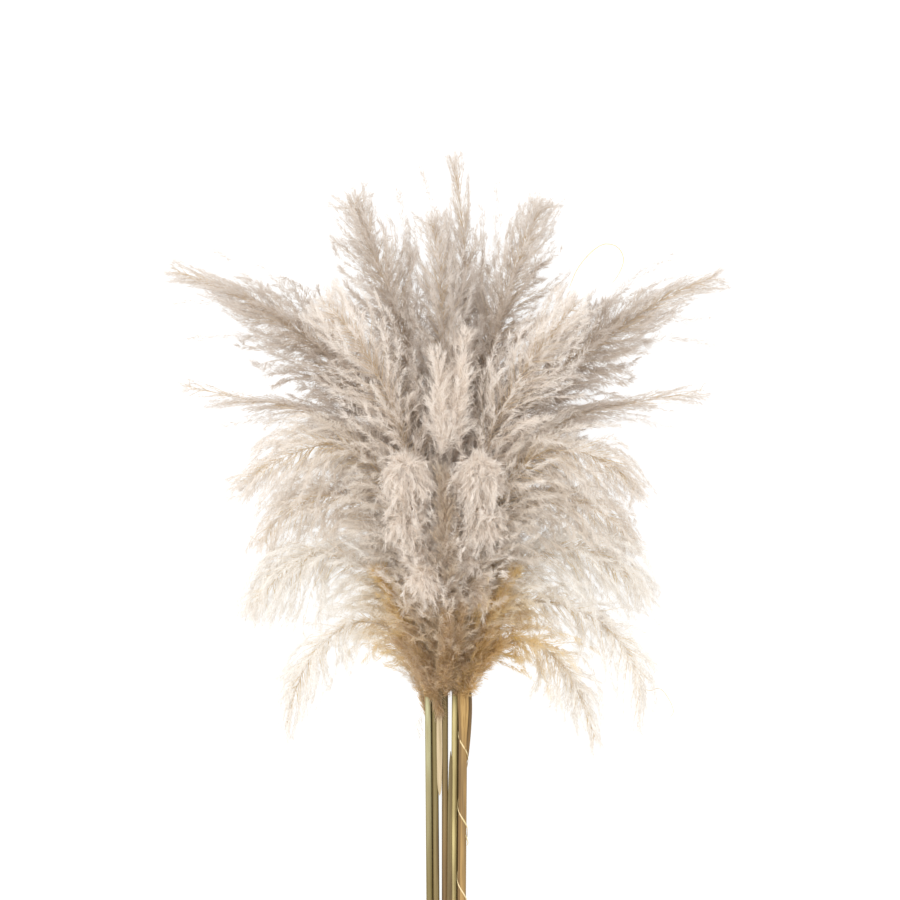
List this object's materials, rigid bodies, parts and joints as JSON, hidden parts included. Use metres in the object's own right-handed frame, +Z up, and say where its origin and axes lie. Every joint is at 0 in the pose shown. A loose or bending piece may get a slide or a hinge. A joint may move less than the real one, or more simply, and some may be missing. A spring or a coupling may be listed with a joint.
{
  "type": "bundle of pampas grass",
  "caption": "Bunch of dried pampas grass reeds, cut and lying down: straight stems side by side and feathery plumes that open into a broad fan.",
  "frame": {"origin": "on the table under the middle stem, at the neck where the stems end and the plumes begin", "axes": "+Y from the cut ends of the stems to the tips of the plumes, +X to the right seen from above, +Z up from the table"},
  "size_m": [0.5567, 1.0012, 0.1528],
  "materials": {
    "plume_taupe": "dull, silky dry hair",
    "plume_sand": "dull, silky dry hair",
    "plume_pale": "dull, silky dry hair",
    "plume_cream": "dull, silky dry hair",
    "stem_green": "dry grass stalk, dull with fine lengthwise fibres",
    "stem_olive": "dry grass stalk, dull with fine lengthwise fibres",
    "stem_tan": "dry grass stalk, dull with fine lengthwise fibres",
    "stem_straw": "dry grass stalk, dull with fine lengthwise fibres",
    "stem_brown": "dry grass stalk, dull with fine lengthwise fibres",
    "stem_sheath": "dry grass stalk, dull with fine lengthwise fibres",
    "strand": "pale dry leaf fibre"
  },
  "bodies": {
    "root": {"plume_trailing_left": "plume_cream", "plume_low_left": "plume_cream", "plume_side_left": "plume_sand", "plume_mid_left": "plume_sand", "plume_far_left": "plume_taupe", "plume_left": "plume_taupe", "plume_upper_left": "plume_taupe", "plume_broad_left": "plume_pale", "plume_centre": "plume_taupe", "plume_front_centre": "plume_taupe", "plume_tuft_left": "plume_pale", "plume_tuft_centre": "plume_pale", "plume_far_right": "plume_taupe", "plume_upper_right": "plume_taupe", "plume_broad_right": "plume_pale", "plume_tuft_right": "plume_pale", "plume_low_right": "plume_cream", "plume_right": "plume_taupe", "plume_side_right": "plume_sand", "plume_mid_right": "plume_sand", "plume_trailing_right": "plume_cream", "plume_hanging_right": "plume_cream", "stem_trailing_left": "stem_green", "stem_low_left": "stem_green", "stem_side_left": "stem_green", "stem_mid_left": "stem_green", "stem_far_left": "stem_olive", "stem_left": "stem_olive", "stem_upper_left": "stem_olive", "stem_broad_left": "stem_olive", "stem_centre": "stem_tan", "stem_front_centre": "stem_tan", "stem_tuft_left": "stem_tan", "stem_tuft_centre": "stem_tan", "stem_far_right": "stem_straw", "stem_upper_right": "stem_straw", "stem_broad_right": "stem_straw", "stem_tuft_right": "stem_straw", "stem_low_right": "stem_brown", "stem_right": "stem_brown", "stem_side_right": "stem_brown", "stem_mid_right": "stem_sheath", "stem_trailing_right": "stem_brown", "stem_hanging_right": "stem_brown", "strand": "strand"}
  },
  "joints": []
}
